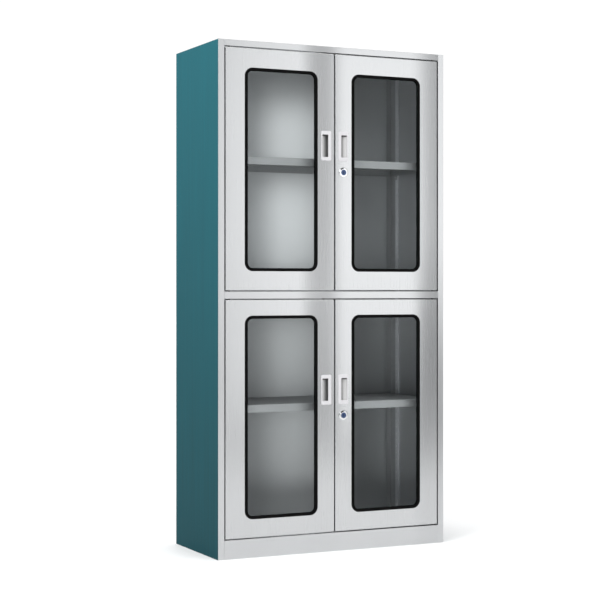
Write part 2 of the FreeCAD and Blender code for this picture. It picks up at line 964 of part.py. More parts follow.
def lock_plug(level):
    """Turning plug: a face with the key slot, a shank, a square tail and a riveted end."""
    body = new_body(f"{level.name}_lock_plug")
    face = lock_face + size.lock_face_sink
    seat = lock_face + size.lock_face_depth - size.running_play
    head = size.lock_face_diameter / 2
    shank = size.plug_diameter / 2
    tail_end = barrel_back + size.cam_play + size.cam_thickness
    end_head = size.tail_head_diameter / 2
    outline = [(face, 0), (face, head), (seat, head), (seat, shank), (barrel_back, shank)]
    turned_through(body, lock_out, level.middle, outline + [(barrel_back, 0)])
    half = size.tail_square / 2
    tail = front_sketch(body, barrel_back)
    rectangle(tail, lock_out - half, lock_out + half, level.middle - half, level.middle + half)
    pad(body, tail, tail_end - barrel_back)
    riveted = circle(front_sketch(body, tail_end), lock_out, level.middle, end_head)
    pad(body, riveted, size.tail_head_thickness)
    slot_half = size.key_slot_width / 2
    slot_reach = size.key_slot_length / 2
    slot = front_sketch(body, face)
    rectangle(
        slot,
        lock_out - slot_half,
        lock_out + slot_half,
        level.middle - slot_reach,
        level.middle + slot_reach,
    )
    pocket(body, slot, size.key_slot_depth)
    return keep(body)


def lock_nut(level):
    body = new_body(f"{level.name}_lock_nut")
    corner = size.nut_across_flats / 2 / math.cos(math.pi / 6)
    points = []
    for turn in range(6):
        angle = turn * math.pi / 3
        points.append(
            (lock_out + corner * math.cos(angle), level.middle + corner * math.sin(angle))
        )
    outline = polygon(front_sketch(body, door_back), points)
    circle(
        outline, lock_out, level.middle, size.lock_barrel_diameter / 2 + size.running_play
    )
    pad(body, outline, size.nut_thickness)
    return keep(body)


def lock_cam(level):
    """Cranked arm on the plug's tail. It hangs down when unlocked, and locks behind the left door."""
    body = new_body(f"{level.name}_lock_cam")
    hub = barrel_back + size.cam_play
    hub_back = hub + size.cam_thickness
    arm = hub - size.cam_crank
    arm_back = hub_back - size.cam_crank
    heel = level.middle + size.cam_heel
    bend = level.middle - size.crank_start
    straight = bend - size.crank_run
    tip = level.middle - size.cam_length
    outline = [
        (hub, heel),
        (hub, bend),
        (arm, straight),
        (arm, tip),
        (arm_back, tip),
        (arm_back, straight),
        (hub_back, bend),
        (hub_back, heel),
    ]
    profile = polygon(side_sketch(body, lock_out - size.cam_width / 2), outline)
    pad(body, profile, size.cam_width)
    half = size.tail_square / 2 + size.running_play
    hole = front_sketch(body, hub)
    rectangle(hole, lock_out - half, lock_out + half, level.middle - half, level.middle + half)
    pocket(body, hole, size.cam_thickness)
    return keep(body)


# Slide bolts of the left doors

def bolt_ends(level):
    """Name, door edge and inward direction of the two slide bolts of a left door."""
    return (("top", level.door_high, -1), ("bottom", level.door_low, 1))


def knob_place(edge, inward):
    """Height of a slide bolt's knob when the bolt is drawn back."""
    guide_middle = edge + inward * (size.guide_setback + size.guide_height / 2)
    return guide_middle + inward * size.bolt_travel / 2


def bolt_guides(level):
    """Guide blocks on the back of the left door, bored for the bolt and slotted for its knob."""
    guides = []
    left, right = across(-1, bolt_out - size.guide_width / 2, bolt_out + size.guide_width / 2)
    for end, edge, inward in bolt_ends(level):
        ends = (
            edge + inward * size.guide_setback,
            edge + inward * (size.guide_setback + size.guide_height),
        )
        low, high = sorted(ends, key=lambda height: height.number)
        body = new_body(f"{level.name}_{end}_guide")
        pad(body, rectangle(front_sketch(body, door_back), left, right, low, high), size.guide_depth)
        guide_back = door_back + size.guide_depth
        round_edges(
            body,
            size.guide_round,
            lambda edge: lies_at(edge, x=left, y=guide_back) or lies_at(edge, x=right, y=guide_back),
        )
        bore = circle(
            plan_sketch(body, low), -bolt_out, bolt_y, size.bolt_diameter / 2 + size.bolt_play
        )
        pocket(body, bore, size.guide_height)
        half = size.knob_diameter / 2 + size.bolt_play
        rest = knob_place(edge, inward)
        drawn = rest - inward * size.bolt_travel
        slot_low, slot_high = sorted((rest, drawn), key=lambda height: height.number)
        slot = front_sketch(body, bolt_y)
        rectangle(slot, -bolt_out - half, -bolt_out + half, slot_low - half, slot_high + half)
        pocket(body, slot, size.guide_depth / 2)
        guides.append(body)
    return group(f"{level.name}_bolt_guides", guides)


def slide_bolt(level, end, edge, inward):
    """A rod with a chamfered nose and a knob that stands out through the guide's slot."""
    body = new_body(f"{level.name}_{end}_bolt")
    radius = size.bolt_diameter / 2
    nose = edge + inward * size.bolt_setback
    shoulder = nose + inward * size.bolt_chamfer
    heel = nose + inward * size.bolt_length
    outline = [(0, heel), (radius, heel), (radius, shoulder), (radius - size.bolt_chamfer, nose)]
    turned_upright(body, -bolt_out, bolt_y, outline + [(0, nose)])
    knob = circle(
        front_sketch(body, bolt_y), -bolt_out, knob_place(edge, inward), size.knob_diameter / 2
    )
    pad(body, knob, size.guide_depth / 2 + size.knob_reach)
    return keep(body)


# Assembly

for side_name, side_sign in SIDES.items():
    side_panel(side_name, side_sign)
    stile(side_name, side_sign)
back_panel()
top_panel()
floor_panel("base_panel", LOWER.floor)
floor_panel("divider_panel", UPPER.floor)
top_rail()
mid_rail()
kick_plate()
shelf_supports(UPPER, UPPER.floor, roof_sheet - size.panel_flange)
shelf_supports(LOWER, LOWER.floor, UPPER.floor - size.panel_flange)
for tier_level in (UPPER, LOWER):
    shelf(tier_level)
    hinge_pins(tier_level)
    magnetic_catch(tier_level)
    for side_name, side_sign in SIDES.items():
        door_front(tier_level, side_name, side_sign)
        door_back_skin(tier_level, side_name, side_sign)
        window_glass(tier_level, side_name, side_sign)
        window_seal(tier_level, side_name, side_sign)
        door_pull(tier_level, side_name, side_sign)
        hinge_bushes(tier_level, side_name, side_sign)
    lock_body(tier_level)
    lock_nut(tier_level)
    lock_plug(tier_level)
    lock_cam(tier_level)
    bolt_guides(tier_level)
    for bolt_end in bolt_ends(tier_level):
        slide_bolt(tier_level, *bolt_end)
doc.recompute()

# Every feature has to have worked, every cut has to have taken material, and every piece has to be sound
for item in doc.Objects:
    if {"Invalid", "Error"} & set(item.State):
        raise RuntimeError(f"{item.Label} failed: {item.State}")
    if item.TypeId == "PartDesign::Pocket" and item.Shape.Volume >= item.BaseFeature.Shape.Volume:
        raise RuntimeError(f"{item.Label} cuts nothing")
for node in nodes:
    if node.Shape.isNull() or not node.Shape.isValid() or not node.Shape.Solids:
        raise RuntimeError(f"{node.Label} has no sound shape")

os.makedirs("parts", exist_ok=True)
for node in nodes:
    node.Shape.exportStep(f"parts/{node.Label}.step")
print(f"{len(nodes)} nodes written")
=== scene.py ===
"""Looks of the medicine cabinet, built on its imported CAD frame.

Metres, +Z up, the doors face -Y. Distances called "out" run from the middle line to either side, and
depths run from the face of the doors towards the back.
"""

import math

import bmesh
import bpy
import numpy as np
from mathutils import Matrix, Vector


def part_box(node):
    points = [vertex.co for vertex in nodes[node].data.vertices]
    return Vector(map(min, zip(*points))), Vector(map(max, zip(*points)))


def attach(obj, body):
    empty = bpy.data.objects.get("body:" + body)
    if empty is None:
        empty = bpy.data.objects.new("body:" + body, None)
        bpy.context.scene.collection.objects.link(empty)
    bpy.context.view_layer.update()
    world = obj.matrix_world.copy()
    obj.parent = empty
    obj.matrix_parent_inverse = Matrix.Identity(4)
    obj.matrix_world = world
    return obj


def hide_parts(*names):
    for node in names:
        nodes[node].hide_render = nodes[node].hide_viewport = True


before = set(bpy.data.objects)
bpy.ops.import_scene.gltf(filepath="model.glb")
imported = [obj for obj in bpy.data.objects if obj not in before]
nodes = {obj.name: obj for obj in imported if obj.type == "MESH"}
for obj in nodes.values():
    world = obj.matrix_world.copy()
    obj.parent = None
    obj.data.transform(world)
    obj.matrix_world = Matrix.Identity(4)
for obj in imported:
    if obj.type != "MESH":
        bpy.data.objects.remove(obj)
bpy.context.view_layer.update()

MM = 0.001
LEVELS = ("upper", "lower")
SIDES = {"left": -1, "right": 1}


def middle_of(node):
    """Middle of a CAD node's box."""
    low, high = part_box(node)
    return (low + high) / 2


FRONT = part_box("lower_left_door_front")[0].y
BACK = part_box("back_panel")[1].y
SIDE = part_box("right_side_panel")[1].x
LOWER_LOCK = middle_of("lower_lock_body")
LOWER_PULL = middle_of("lower_right_door_pull")
TIER_PITCH = middle_of("upper_lock_body").z - LOWER_LOCK.z


# Shader expressions

class Value:
    """A shader socket that works in sums: each operator adds a Math node to its finish."""

    def __init__(self, finish, socket):
        self.finish = finish
        self.socket = socket

    def math(self, operation, first, second):
        return self.finish.add("ShaderNodeMath", {"operation": operation}, {0: first, 1: second})

    def __add__(self, other):
        return self.math("ADD", self, other)

    def __sub__(self, other):
        return self.math("SUBTRACT", self, other)

    def __rsub__(self, other):
        return self.math("SUBTRACT", other, self)

    def __mul__(self, other):
        return self.math("MULTIPLY", self, other)

    def __truediv__(self, other):
        return self.math("DIVIDE", self, other)

    def __pow__(self, other):
        return self.math("POWER", self, other)

    __radd__ = __add__
    __rmul__ = __mul__

    def fraction(self):
        return self.math("FRACT", self, 0)

    def size(self):
        return self.math("ABSOLUTE", self, 0)

    def angle(self, across):
        """Angle in degrees of a point this high and so far across, from the right."""
        return self.math("ARCTAN2", self, across) * (180 / math.pi)

    def step(self, low, high):
        """Smooth climb from 0 at low to 1 at high."""
        return self.finish.add(
            "ShaderNodeMapRange",
            {"interpolation_type": "SMOOTHSTEP"},
            {"Value": self, "From Min": low, "From Max": high},
        )

    def about(self, middle, width):
        """This pattern from 0 to 1, as a spread of so wide about a middle."""
        return self * width + (middle - width / 2)


class Finish:
    """A material, or the world, under construction, with one method that adds any node."""

    def __init__(self, name, holders=bpy.data.materials):
        self.holder = holders.new(name)
        self.holder.use_nodes = True
        self.tree = self.holder.node_tree
        self.tree.nodes.clear()

    def add(self, kind, settings=None, inputs=None, output=0):
        """Adds a node, makes its settings, fills its sockets with values or links, and gives an output."""
        node = self.tree.nodes.new(kind)
        for name, setting in (settings or {}).items():
            setattr(node, name, setting)
        for name, value in (inputs or {}).items():
            if isinstance(value, Value):
                self.tree.links.new(value.socket, node.inputs[name])
            else:
                node.inputs[name].default_value = value
        return Value(self, node.outputs[output])

    def place(self):
        return self.add("ShaderNodeTexCoord", output="Object")

    def along(self, axis):
        """One coordinate of the piece, in metres."""
        return self.add("ShaderNodeSeparateXYZ", inputs={0: self.place()}, output=axis)

    def above(self, lower_height):
        """Height over a place that both tiers share, given by its height in the lower tier."""
        whole = (self.along("Z") - (lower_height - TIER_PITCH / 2)) / TIER_PITCH
        return (whole.fraction() - 0.5) * TIER_PITCH

    def noise(self, cells, detail=2.0, roughness=0.5):
        """Noise with so many cells to the metre along X, Y and Z."""
        stretched = self.add("ShaderNodeMapping", inputs={"Vector": self.place(), "Scale": cells})
        sockets = {"Vector": stretched, "Scale": 1.0, "Detail": detail, "Roughness": roughness}
        return self.add("ShaderNodeTexNoise", inputs=sockets)

    def blend(self, factor, first, second):
        """A colour between two colours."""
        sockets = {"Factor": factor, "A": first, "B": second}
        return self.add("ShaderNodeMix", {"data_type": "RGBA"}, sockets, output=2)

    def bump(self, height, depth, normal=None):
        """A normal for a height pattern, where a height of 1 is a depth in metres."""
        sockets = {"Height": height, "Distance": depth, "Strength": 1.0}
        if normal is not None:
            sockets["Normal"] = normal
        return self.add("ShaderNodeBump", inputs=sockets)

    def shader(self, **sockets):
        """A Principled shader from socket names written with underscores."""
        named = {name.replace("_", " "): value for name, value in sockets.items()}
        return self.add("ShaderNodeBsdfPrincipled", inputs=named)

    def done(self, surface, output="ShaderNodeOutputMaterial"):
        """Links the surface to an output node, and gives the finished material or world."""
        node = self.tree.nodes.new(output)
        self.tree.links.new(surface.socket, node.inputs["Surface"])
        return self.holder


def grey(level, tint=(1.0, 1.0, 1.0)):
    return tuple(level * part for part in tint) + (1.0,)


# Steel

COOL = (0.985, 1.0, 1.015)
UPRIGHT_GRAIN = (800.0, 800.0, 5.0)
LEVEL_GRAIN = (5.0, 800.0, 800.0)
SCRATCH = 0.0008 * MM
TIER_CHANGE = (600 * MM, 1200 * MM)
BOW = 14.5 * MM
BOW_RISE = (-145 * MM, 55 * MM)
BOW_FALL = (310 * MM, 560 * MM)
BOW_BELLY = (230 * MM, 950 * MM)
DOOR_FALL = 1.1
STILE_FALL = 0.0


def hairlines(finish, grain):
    """Fine streaks along the grain."""
    return finish.noise(grain, detail=3.0, roughness=0.6)


def steel_tone(finish, hairline, dark, light):
    """Slow cloudy tone between two greys, with a trace of the hairlines."""
    cloud = finish.noise((1.6, 1.6, 0.9), detail=1.0)
    return finish.blend(hairline * 0.12 + cloud * 0.88, grey(dark, COOL), grey(light, COOL))


def bowed_sheet(finish, upper_fall):
    """Normal of a front sheet that is bowed in a slow wave, with heights in shares of the bow.

    The sheet rises by 1 about the meeting line, falls near the right edge by a given share in the upper
    tier and by more in the lower one, and swells towards the floor.
    """
    low_rise, lower_fall, low_fall, swell = 0.25, 0.8, 0.6, 1.6
    across = finish.along("X")
    lower = 1 - finish.along("Z").step(*TIER_CHANGE)
    belly = 1 - finish.along("Z").step(*BOW_BELLY)
    rise = across.step(*BOW_RISE) * (1 + low_rise * belly)
    fall = across.step(*BOW_FALL) * (upper_fall + lower_fall * lower + low_fall * belly)
    return finish.bump(rise - fall + swell * belly, BOW)


def brushed_steel(name, dark, light, roughness, grain, upper_fall=None):
    """Hairline steel, flat unless it is given the fall of a bowed sheet."""
    finish = Finish(name)
    hairline = hairlines(finish, grain)
    bowed = None if upper_fall is None else bowed_sheet(finish, upper_fall)
    shader = finish.shader(
        Base_Color=steel_tone(finish, hairline, dark, light),
        Metallic=1.0,
        Roughness=hairline.about(roughness, 0.03),
        Normal=finish.bump(hairline, SCRATCH, bowed),
    )
    return finish.done(shader)


def outer_face(place, reach):
    """1 on the outer face of a sheet at a reach from the middle, and 0 on its inner face."""
    return place.step(reach - 0.7 * MM, reach - 0.4 * MM)


def back_steel():
    """Rolled back sheet whose inner face is paler in the upper tier than in the lower one: painted light
    above and painted shade below.
    """
    finish = Finish("back_steel")
    hairline = hairlines(finish, UPRIGHT_GRAIN)
    inner_face = 1 - outer_face(finish.along("Y"), BACK)
    # Painted light and shade: the inner face is pale in the upper tier and as dull as the outer face in
    # the lower one.
    upper = finish.along("Z").step(*TIER_CHANGE)
    dull = steel_tone(finish, hairline, 0.50, 0.57)
    pale = steel_tone(finish, hairline, 0.70, 0.80)
    shader = finish.shader(
        Base_Color=finish.blend(inner_face * upper, dull, pale),
        Metallic=1.0,
        Roughness=hairline.about(0.38, 0.03),
        Normal=finish.bump(hairline, SCRATCH),
    )
    return finish.done(shader)


def zinc_steel():
    """Zinc-plated steel with a soft mottle."""
    finish = Finish("zinc_steel")
    mottle = finish.noise((40, 40, 40), detail=3.0)
    cloud = finish.noise((2.5, 2.5, 2.5), detail=2.0)
    shader = finish.shader(
        Base_Color=finish.blend(mottle * 0.4 + cloud * 0.6, grey(0.42, COOL), grey(0.58, COOL)),
        Metallic=1.0,
        Roughness=mottle.about(0.36, 0.1),
        Normal=finish.bump(mottle, 0.04 * MM),
    )
    return finish.done(shader)


def teal_coat():
    """Side sheet: outside a satin coat with faint upright streaks and painted light that brightens it
    towards the top, and on its inner face bare brushed steel."""
    finish = Finish("teal_coat")
    streak = finish.noise((60, 60, 1.4), detail=4.0, roughness=0.65)
    cloud = finish.noise((1.2, 1.2, 0.7), detail=2.0)
    hairline = hairlines(finish, UPRIGHT_GRAIN)
    outside = outer_face(finish.along("X").size(), SIDE)
    # Streaks and random cloud, plus painted light that grows brighter towards the top.
    streaks_and_painted_light = streak * 0.4 + cloud * 0.2 + finish.along("Z") * 0.34 - 0.05
    coat = finish.blend(streaks_and_painted_light, (0.008, 0.037, 0.045, 1.0), (0.020, 0.140, 0.173, 1.0))
    bare = finish.blend(hairline * 0.4 + cloud * 0.6, grey(0.50, COOL), grey(0.58, COOL))
    shader = finish.shader(
        Base_Color=finish.blend(outside, bare, coat),
        Metallic=1 - outside,
        Roughness=streak.about(0.41, 0.14),
        Normal=finish.bump(hairline, 0.006 * MM),
        IOR=1.07,
    )
    return finish.done(shader)


# Rubber, glass and plastic

def seal_rubber():
    """Black glazing rubber with a faint bloom and fine pores."""
    finish = Finish("seal_rubber")
    bloom = finish.noise((30, 30, 30), detail=4.0)
    pores = finish.noise((1500, 1500, 1500), detail=1.0)
    shader = finish.shader(
        Base_Color=finish.blend(bloom, grey(0.001), grey(0.003)),
        Roughness=bloom.about(0.6, 0.2),
        Normal=finish.bump(pores, 0.03 * MM),
        IOR=1.15,
    )
    return finish.done(shader)


def window_glass():
    """Clear pane: mostly see-through, with a mirror film that grows at a slant."""
    finish = Finish("window_glass")
    film = finish.add("ShaderNodeLayerWeight", inputs={"Blend": 0.12}, output="Fresnel")
    smear = finish.noise((6, 6, 3), detail=3.0)
    clear = finish.add("ShaderNodeBsdfTransparent", inputs={"Color": (0.94, 0.95, 0.95, 1.0)})
    mirror = finish.shader(
        Base_Color=(0.9, 0.95, 0.95, 1.0), Metallic=1.0, Roughness=smear.about(0.02, 0.02)
    )
    pane = finish.add("ShaderNodeMixShader", inputs={0: film * 0.5, 1: clear, 2: mirror})
    return finish.done(pane)


def moulded_skin(finish):
    """Soft cloud in the colour of a moulding, and the normal of its fine spark-eroded grain."""
    cloud = finish.noise((25, 25, 25), detail=2.0)
    grain = finish.noise((1200, 1200, 1200), detail=1.0)
    return cloud, finish.bump(grain, 0.03 * MM)


def satin_plastic(name, dark, light, roughness):
    """Moulded plastic in one grey."""
    finish = Finish(name)
    cloud, skin = moulded_skin(finish)
    shader = finish.shader(
        Base_Color=finish.blend(cloud, grey(dark), grey(light)),
        Roughness=cloud.about(roughness, 0.08),
        Normal=skin,
    )
    return finish.done(shader)


def pull_plastic():
    """Pale satin moulding, with painted shade that makes it greyer down its finger recess, and a dark
    painted shadow under the lip and the top edge.
    """
    finish = Finish("pull_plastic")
    cloud, skin = moulded_skin(finish)
    violet = (1.0, 0.99, 1.02)
    inward = finish.along("Y") - FRONT
    # Painted shade: the recess is greyer, and darker still towards its deepest part.
    recess_painted_shade_mask = inward.step(0.8 * MM, 1.6 * MM)
    deep_painted_shade = inward.step(8 * MM, 12.8 * MM)
    # Painted shadow: dark under the lip and under the top edge of the recess.
    lip_painted_shadow = 1 - finish.along("X").size().step(26 * MM, 29 * MM)
    top_edge_painted_shadow = finish.above(LOWER_PULL.z).step(34 * MM, 36 * MM)
    painted_shadow_mask = recess_painted_shade_mask * (1 - (1 - lip_painted_shadow) * (1 - top_edge_painted_shadow))
    pale = finish.blend(cloud, grey(0.56, violet), grey(0.63, violet))
    recess = finish.blend(deep_painted_shade, grey(0.54), grey(0.22))
    shader = finish.shader(
        Base_Color=finish.blend(painted_shadow_mask, finish.blend(recess_painted_shade_mask, pale, recess), grey(0.09)),
        Roughness=cloud.about(0.34, 0.08),
        Normal=skin,
    )
    return finish.done(shader)


# Locks

def lock_chrome():
    """Polished plate with faint turned rings, and a painted dark reflection on the ring at the upper left.
    """
    finish = Finish("lock_chrome")
    ring_pitch = 0.4 * MM
    across = finish.along("X") - LOWER_LOCK.x
    upward = finish.above(LOWER_LOCK.z)
    out = (across * across + upward * upward) ** 0.5
    turn = upward.angle(across)
    # Painted dark reflection: a dark band on the ring at the upper left.
    painted_reflection_band = turn.step(88, 92) * (1 - turn.step(140, 144))
    painted_dark_reflection = painted_reflection_band * out.step(11.8 * MM, 12.2 * MM) * (1 - out.step(17.2 * MM, 17.5 * MM))
    rings = (out / ring_pitch).fraction().step(0.0, 1.0)
    shader = finish.shader(
        Base_Color=finish.blend(painted_dark_reflection, grey(0.74, COOL), grey(0.01)),
        Metallic=1 - painted_dark_reflection,
        Roughness=rings.about(0.165, 0.05),
    )
    return finish.done(shader)


def lock_face():
    """Turning plug: a dark blue lacquered face with near-black painted shade down its key slot, and bare
    metal behind.
    """
    finish = Finish("lock_face")
    cloud = finish.noise((90, 90, 90), detail=2.0)
    inward = finish.along("Y") - FRONT
    lacquer = finish.blend(cloud, (0.03, 0.055, 0.13, 1.0), (0.055, 0.09, 0.19, 1.0))
    # Painted shade: near black down the key slot behind the face.
    key_slot_painted_shade = finish.blend(inward.step(-3.5 * MM, -3.2 * MM), lacquer, grey(0.005))
    bare = inward.step(-1.5 * MM, -1 * MM)
    shader = finish.shader(
        Base_Color=finish.blend(bare, key_slot_painted_shade, grey(0.5, COOL)),
        Metallic=bare * 0.6 + 0.4,
        Roughness=cloud.about(0.3, 0.1),
    )
    return finish.done(shader)


# Finishes of the CAD nodes

FINISHES = {
    "teal_coat": teal_coat(),
    "door_steel": brushed_steel("door_steel", 0.52, 0.60, 0.27, UPRIGHT_GRAIN, DOOR_FALL),
    "frame_steel": brushed_steel("frame_steel", 0.52, 0.60, 0.28, UPRIGHT_GRAIN),
    "stile_steel": brushed_steel("stile_steel", 0.52, 0.60, 0.28, UPRIGHT_GRAIN, STILE_FALL),
    "rail_steel": brushed_steel("rail_steel", 0.52, 0.60, 0.28, LEVEL_GRAIN, DOOR_FALL),
    # The inner steel is the same brushed steel, painted paler than the outside steel: painted light inside
    # the cabinet.
    "inner_steel": brushed_steel("inner_steel", 0.76, 0.84, 0.34, UPRIGHT_GRAIN),
    "back_steel": back_steel(),
    "shelf_steel": brushed_steel("shelf_steel", 0.46, 0.56, 0.70, LEVEL_GRAIN),
    "zinc_steel": zinc_steel(),
    "lock_chrome": lock_chrome(),
    "lock_face": lock_face(),
    "seal_rubber": seal_rubber(),
    "window_glass": window_glass(),
    "pull_plastic": pull_plastic(),
    "bush_nylon": satin_plastic("bush_nylon", 0.015, 0.03, 0.5),
    "catch_plastic": satin_plastic("catch_plastic", 0.30, 0.38, 0.45),
}
CARCASS_FINISHES = {
    "left_side_panel": "teal_coat",
    "right_side_panel": "teal_coat",
    "left_stile": "frame_steel",
    "right_stile": "stile_steel",
    "back_panel": "back_steel",
    "top_panel": "frame_steel",
    "base_panel": "shelf_steel",
    "divider_panel": "shelf_steel",
    "top_rail": "rail_steel",
    "mid_rail": "rail_steel",
    "kick_plate": "rail_steel",
}
TIER_FINISHES = {
    "shelf": "shelf_steel",
    "shelf_standards": "inner_steel",
    "shelf_clips": "zinc_steel",
    "hinge_pins": "zinc_steel",
    "magnetic_catch": "catch_plastic",
    "bolt_guides": "zinc_steel",
    "top_bolt": "zinc_steel",
    "bottom_bolt": "zinc_steel",
    "lock_nut": "zinc_steel",
    "lock_cam": "zinc_steel",
    "lock_plug": "lock_face",
}
DOOR_FINISHES = {
    "door_front": "door_steel",
    "door_back": "inner_steel",
    "window_glass": "window_glass",
    "hinge_bushes": "bush_nylon",
}


def dress(node, finish):
    """Gives a CAD node its finish."""
    nodes[node].data.materials.clear()
    nodes[node].data.materials.append(FINISHES[finish])


for node, finish in CARCASS_FINISHES.items():
    dress(node, finish)
for level in LEVELS:
    for piece, finish in TIER_FINISHES.items():
        dress(f"{level}_{piece}", finish)
    for side in SIDES:
        for piece, finish in DOOR_FINISHES.items():
            dress(f"{level}_{side}_{piece}", finish)


# Surfaces

WELD = 1e-6
SLIVER = 1e-7
CREASE = math.radians(38)


def loop_shape(arc_steps, edge_steps):
    """A rounded rectangle as weights: each point is a corner centre, or a blend of two along an edge,
    plus the corner radius times an outward direction."""
    turn = np.linspace(0, math.pi / 2, arc_steps + 1)
    blend = np.linspace(0, 1, edge_steps + 1)[1:-1]
    centres = np.array([(1, 0), (1, 1), (0, 1), (0, 0)], float)
    following = np.roll(centres, -1, axis=0)
    angles = np.arange(4)[:, None] * math.pi / 2 - math.pi / 2 + turn
    arc_places = np.repeat(centres[:, None], arc_steps + 1, axis=1)
    edge_places = centres[:, None] + (following - centres)[:, None] * blend[None, :, None]
    arc_ways = np.stack([np.cos(angles), np.sin(angles)], axis=-1)
    edge_ways = np.repeat(arc_ways[:, -1:], len(blend), axis=1)
    places = np.concatenate([arc_places, edge_places], axis=1).reshape(-1, 2)
    ways = np.concatenate([arc_ways, edge_ways], axis=1).reshape(-1, 2)
    return places, ways


def rounded_loops(shape, left, right, low, high, radius):
    """Rounded rectangles of X and Z, one row for each entry of the given arrays."""
    places, ways = shape
    left, right, low, high, radius = (
        np.asarray(value, float)[:, None] for value in (left, right, low, high, radius)
    )
    across = left + radius + (right - left - 2 * radius) * places[:, 0] + radius * ways[:, 0]
    upward = low + radius + (high - low - 2 * radius) * places[:, 1] + radius * ways[:, 1]
    return across, upward


def quarter(steps):
    """Sine and one-minus-cosine of a quarter turn, for a rounded edge."""
    turn = np.linspace(0, math.pi / 2, steps)
    return np.sin(turn), 1 - np.cos(turn)


def weld_and_face_out(mesh):
    """Joins points that fall together, drops faces with no area and turns every face outwards."""
    work = bmesh.new()
    work.from_mesh(mesh)
    bmesh.ops.remove_doubles(work, verts=work.verts, dist=WELD)
    bmesh.ops.dissolve_degenerate(work, edges=work.edges, dist=SLIVER)
    bmesh.ops.recalc_face_normals(work, faces=work.faces)
    work.to_mesh(mesh)
    work.free()


def surface(name, grid, wrap_rows, body, node, finish):
    """A closed piece of quads over a grid of points whose columns go all the way round."""
    rows, columns = grid.shape[:2]
    index = np.arange(rows * columns).reshape(rows, columns)
    index = np.hstack([index, index[:, :1]])
    if wrap_rows:
        index = np.vstack([index, index[:1]])
    corners = [index[:-1, :-1], index[1:, :-1], index[1:, 1:], index[:-1, 1:]]
    quads = np.stack(corners, axis=-1).reshape(-1, 4)
    mesh = bpy.data.meshes.new(name)
    mesh.from_pydata(grid.reshape(-1, 3).tolist(), [], quads.tolist())
    weld_and_face_out(mesh)
    mesh.shade_smooth()
    mesh.set_sharp_from_angle(angle=CREASE)
    mesh.materials.append(FINISHES[finish])
    piece = bpy.data.objects.new(name, mesh)
    bpy.context.scene.collection.objects.link(piece)
    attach(piece, body)
    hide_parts(node)


# Window seals

SEAL_WIDTH = 11 * MM
SEAL_PROUD = 2.5 * MM
SEAL_ROUND = 1.8 * MM
SEAL_GRIP = 4 * MM
SEAL_WEB_END = 7 * MM
SEAL_LIP = 2.5 * MM
GROOVE_HALF = 1.1 * MM
GROOVE_DEEP = 0.7 * MM
SHEET = 1 * MM
GLASS = 5 * MM
WINDOW_CORNER = 30 * MM


def seal_profile():
    """Section of the glazing rubber, as insets from its outer edge and depths behind the doors' face.

    The face has rounded edges and a locking groove, a squared cosine, down its middle. Behind it the
    web and two lips hold sheet and glass.
    """
    rise, run = quarter(7)
    edge_inset = SEAL_ROUND * run
    edge_depth = -SEAL_PROUD + SEAL_ROUND - SEAL_ROUND * rise
    groove = np.linspace(-1, 1, 9)
    groove_depth = -SEAL_PROUD + GROOVE_DEEP * np.cos(groove * math.pi / 2) ** 2
    sheet_lip = SHEET + SEAL_LIP
    glass_lip = GLASS + SEAL_LIP
    inset = np.concatenate([
        [0.0],
        edge_inset,
        SEAL_WIDTH / 2 + groove * GROOVE_HALF,
        (SEAL_WIDTH - edge_inset)[::-1],
        [SEAL_WIDTH, SEAL_WEB_END, SEAL_WEB_END, SEAL_WIDTH, SEAL_WIDTH],
        [SEAL_GRIP, SEAL_GRIP, 0.0, 0.0, SEAL_GRIP, SEAL_GRIP],
    ])
    depth = np.concatenate([
        [0.0],
        edge_depth,
        groove_depth,
        edge_depth[::-1],
        [0.0, 0.0, GLASS, GLASS, glass_lip],
        [glass_lip, sheet_lip, sheet_lip, SHEET, SHEET, 0.0],
    ])
    return inset, depth


def window_seal(level, side):
    """The seal's section carried round the window's rounded outline."""
    node = f"{level}_{side}_window_seal"
    low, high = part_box(node)
    inset, depth = seal_profile()
    shape = loop_shape(arc_steps=14, edge_steps=1)
    across, upward = rounded_loops(
        shape, low.x + inset, high.x - inset, low.z + inset, high.z - inset, WINDOW_CORNER - inset
    )
    grid = np.stack([across, np.broadcast_to(FRONT + depth[:, None], across.shape), upward], axis=-1)
    surface(f"{node}_rubber", grid, True, f"{level}_{side}_door", node, "seal_rubber")


# Flush pulls

PULL_PROUD = 2.2 * MM
PLATE_ROUND = 1.2 * MM
MOUTH_ROUND = 0.9 * MM
CUP_DEEP = 14.5 * MM
LIP_START = 0.8 * MM
LIP_END = 1.0 * MM
RECESS_DEEP = 13 * MM
RECESS_SHALLOW = 1.7 * MM
RECESS_FLAT_END = 29 * MM
RECESS_CLIMB = 20.5 * MM
FLOOR_ROUND = 2.2 * MM
HAIR = 0.01 * MM
# Loops of a pull: near and far edge out from the middle line, half height and corner
CUP = np.array([19.5, 51, 41.5, 2]) * MM
PLATE = np.array([14, 54, 53, 5]) * MM
MOUTH = np.array([26, 49.5, 40, 2.5]) * MM
GRIP = np.array([21, 49.5, 40, 2.5]) * MM
GROW = np.array([-1, 1, 1, 1])


def pull_floor(out):
    """Depth of the finger recess: flat by the meeting edge, then an easy curve up to the far edge."""
    climb = np.clip((out - RECESS_FLAT_END) / RECESS_CLIMB, 0, 1)
    return RECESS_DEEP + (RECESS_SHALLOW - RECESS_DEEP) * climb ** 1.35


